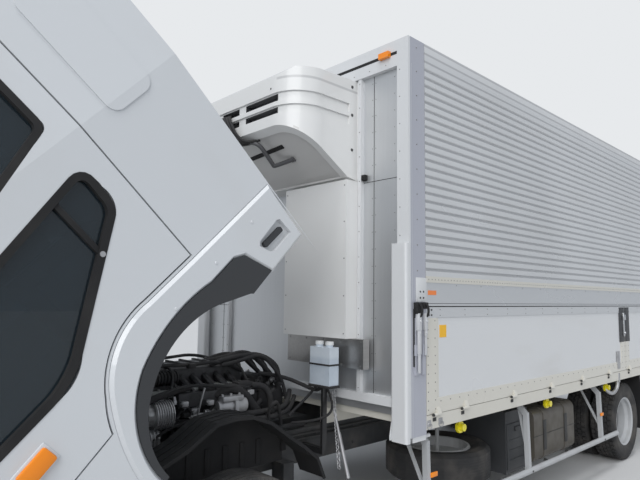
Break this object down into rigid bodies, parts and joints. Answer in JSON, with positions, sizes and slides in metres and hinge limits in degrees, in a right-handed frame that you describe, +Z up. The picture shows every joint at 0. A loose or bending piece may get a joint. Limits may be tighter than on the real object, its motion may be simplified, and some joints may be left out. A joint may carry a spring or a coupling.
{
  "type": "refrigerated truck",
  "caption": "Refrigerated medium truck with its cab tilted forward, wing-sided load box and front-wall cold unit; wheels, steering, doors, drop sides and wings move.",
  "frame": {"origin": "on the ground under the middle of the truck", "axes": "X forward, Y to the left, Z up"},
  "size_m": [10.0944, 2.89, 3.5369],
  "materials": {
    "cab_paint": "gloss",
    "box_paint": "satin",
    "sill_paint": "satin",
    "stainless": "satin",
    "chassis_paint": "satin",
    "engine_metal": "rough",
    "silver_paint": "satin",
    "tyre_rubber": "matte",
    "dark_plastic": "matte",
    "pale_plastic": "gloss",
    "amber_plastic": "gloss",
    "clear_glass": "gloss",
    "seat_fabric": "matte",
    "tank_paint": "satin"
  },
  "bodies": {
    "chassis": {"chassis_frame": "chassis_paint", "front_axle": "chassis_paint", "rear_axle": "chassis_paint", "engine": "engine_metal", "radiator": "chassis_paint", "driveline": "chassis_paint", "mudguards": "dark_plastic", "front_bumper": "cab_paint", "fuel_tank": "tank_paint", "equipment_boxes": "dark_plastic", "spare_wheel": "tyre_rubber", "side_guards": "silver_paint", "load_floor": "sill_paint", "front_wall": "stainless", "cold_unit": "pale_plastic", "pipe_cover": "stainless", "roof_beam": "sill_paint", "rear_frame": "stainless", "marker_lamps": "amber_plastic", "washer_bottle": "pale_plastic", "rear_bar": "chassis_paint", "tilt_bracket": "chassis_paint", "tilt_hinge": "chassis_paint"},
    "cab": {"cab_shell": "cab_paint", "cab_fenders": "cab_paint", "arch_trims": "dark_plastic", "cab_face": "dark_plastic", "cab_interior": "seat_fabric", "mirrors": "dark_plastic", "windscreen": "clear_glass", "tilt_arms": "chassis_paint"},
    "cab_door_left": {"cab_door_left": "cab_paint", "door_glass_left": "clear_glass"},
    "knuckle_left": {"knuckle_left": "chassis_paint"},
    "front_wheel_left": {"front_tyre_left": "tyre_rubber", "front_rim_left": "silver_paint"},
    "rear_wheel_left": {"rear_tyres_left": "tyre_rubber", "rear_rims_left": "silver_paint"},
    "wing_left": {"wing_left": "box_paint"},
    "front_gate_left": {"front_gate_left": "box_paint"},
    "rear_gate_left": {"rear_gate_left": "box_paint"},
    "rear_door_left": {"rear_door_left": "box_paint"},
    "cab_door_right": {"cab_door_right": "cab_paint", "door_glass_right": "clear_glass"},
    "knuckle_right": {"knuckle_right": "chassis_paint"},
    "front_wheel_right": {"front_tyre_right": "tyre_rubber", "front_rim_right": "silver_paint"},
    "rear_wheel_right": {"rear_tyres_right": "tyre_rubber", "rear_rims_right": "silver_paint"},
    "wing_right": {"wing_right": "box_paint"},
    "front_gate_right": {"front_gate_right": "box_paint"},
    "rear_gate_right": {"rear_gate_right": "box_paint"},
    "rear_door_right": {"rear_door_right": "box_paint"},
    "tilt_barrel": {"tilt_barrel": "chassis_paint"},
    "tilt_rod": {"tilt_rod": "chassis_paint"}
  },
  "joints": [
    {"name": "cab_tilt", "type": "hinge", "parent": "chassis", "child": "cab", "pos_m": [3.75, 0, 0.78], "axis": [0, 1, 0], "range_deg": [-47, 0]},
    {"name": "cab_door_left_swing", "type": "hinge", "parent": "cab", "child": "cab_door_left", "pos_m": [4.38774, 1.15, 1.15183], "axis": [0.7314, 0, 0.682], "range_deg": [-70, 0]},
    {"name": "steer_left", "type": "hinge", "parent": "chassis", "child": "knuckle_left", "pos_m": [2.878, 0.79, 0.42], "axis": [0, 0, 1], "range_deg": [-35, 35]},
    {"name": "front_wheel_left_spin", "type": "hinge", "parent": "knuckle_left", "child": "front_wheel_left", "pos_m": [2.878, 0.965, 0.42], "axis": [0, 1, 0], "continuous": true},
    {"name": "rear_wheel_left_spin", "type": "hinge", "parent": "chassis", "child": "rear_wheel_left", "pos_m": [-2.293, 1.053, 0.42], "axis": [0, 1, 0], "continuous": true},
    {"name": "wing_left_lift", "type": "hinge", "parent": "chassis", "child": "wing_left", "pos_m": [-1.585, 0.0625, 3.54], "axis": [1, 0, 0], "range_deg": [0, 85]},
    {"name": "front_gate_left_drop", "type": "hinge", "parent": "chassis", "child": "front_gate_left", "pos_m": [-0.275, 1.257, 1.006], "axis": [-1, 0, 0], "range_deg": [0, 175]},
    {"name": "rear_gate_left_drop", "type": "hinge", "parent": "chassis", "child": "rear_gate_left", "pos_m": [-3.46, 1.257, 1.006], "axis": [-1, 0, 0], "range_deg": [0, 175]},
    {"name": "rear_door_left_swing", "type": "hinge", "parent": "chassis", "child": "rear_door_left", "pos_m": [-5.025, 1.262, 2.2], "axis": [0, 0, -1], "range_deg": [0, 265]},
    {"name": "cab_door_right_swing", "type": "hinge", "parent": "cab", "child": "cab_door_right", "pos_m": [4.38774, -1.15, 1.15183], "axis": [0.7314, 0, 0.682], "range_deg": [0, 70]},
    {"name": "steer_right", "type": "hinge", "parent": "chassis", "child": "knuckle_right", "pos_m": [2.878, -0.79, 0.42], "axis": [0, 0, 1], "range_deg": [-35, 35]},
    {"name": "front_wheel_right_spin", "type": "hinge", "parent": "knuckle_right", "child": "front_wheel_right", "pos_m": [2.878, -0.965, 0.42], "axis": [0, 1, 0], "continuous": true},
    {"name": "rear_wheel_right_spin", "type": "hinge", "parent": "chassis", "child": "rear_wheel_right", "pos_m": [-2.293, -1.053, 0.42], "axis": [0, 1, 0], "continuous": true},
    {"name": "wing_right_lift", "type": "hinge", "parent": "chassis", "child": "wing_right", "pos_m": [-1.585, -0.0625, 3.54], "axis": [-1, 0, 0], "range_deg": [0, 85]},
    {"name": "front_gate_right_drop", "type": "hinge", "parent": "chassis", "child": "front_gate_right", "pos_m": [-0.275, -1.257, 1.006], "axis": [1, 0, 0], "range_deg": [0, 175]},
    {"name": "rear_gate_right_drop", "type": "hinge", "parent": "chassis", "child": "rear_gate_right", "pos_m": [-3.46, -1.257, 1.006], "axis": [1, 0, 0], "range_deg": [0, 175]},
    {"name": "rear_door_right_swing", "type": "hinge", "parent": "chassis", "child": "rear_door_right", "pos_m": [-5.025, -1.262, 2.2], "axis": [0, 0, 1], "range_deg": [0, 265]},
    {"name": "tilt_barrel_swing", "type": "hinge", "parent": "chassis", "child": "tilt_barrel", "pos_m": [3.38, -0.6, 0.64], "axis": [0, 1, 0], "range_deg": [-35.7, 0]},
    {"name": "tilt_rod_slide", "type": "slide", "parent": "tilt_barrel", "child": "tilt_rod", "axis": [0.3731, 0, 0.9278], "range_m": [-0.2896, 0]}
  ],
  "couplings": [
    {"joint": "tilt_barrel_swing", "follows": "cab_tilt", "ratio": 0.7532},
    {"joint": "tilt_rod_slide", "follows": "cab_tilt", "m_per_rad": 0.35056},
    {"joint": "steer_right", "follows": "steer_left", "ratio": 1}
  ]
}
